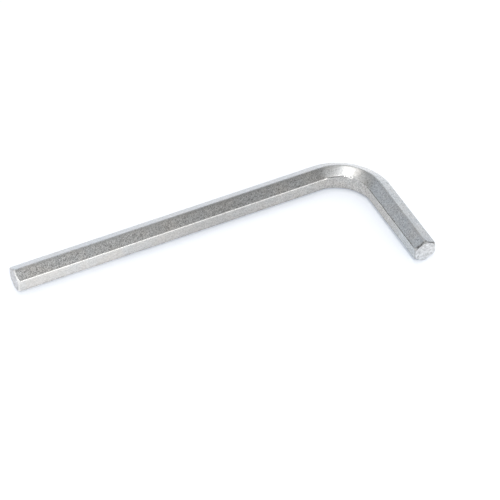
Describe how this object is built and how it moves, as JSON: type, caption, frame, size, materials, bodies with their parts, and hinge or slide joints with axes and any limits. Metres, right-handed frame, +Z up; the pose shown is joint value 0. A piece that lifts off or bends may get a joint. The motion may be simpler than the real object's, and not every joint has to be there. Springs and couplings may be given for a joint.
{
  "type": "hex key",
  "caption": "Bent hexagonal steel key with a long and a short arm, used to turn screws that have a hexagon socket.",
  "frame": {"origin": "on the surface that the key lies on, under the middle of its box", "axes": "+X runs along the long arm towards the bend, +Y along the short arm towards the bend, +Z is up, square to the plane of the two arms"},
  "size_m": [0.085, 0.033, 0.0057],
  "materials": {
    "key_steel": "satin nickel plated tool steel"
  },
  "bodies": {
    "root": {"hex_key": "key_steel"}
  },
  "joints": []
}
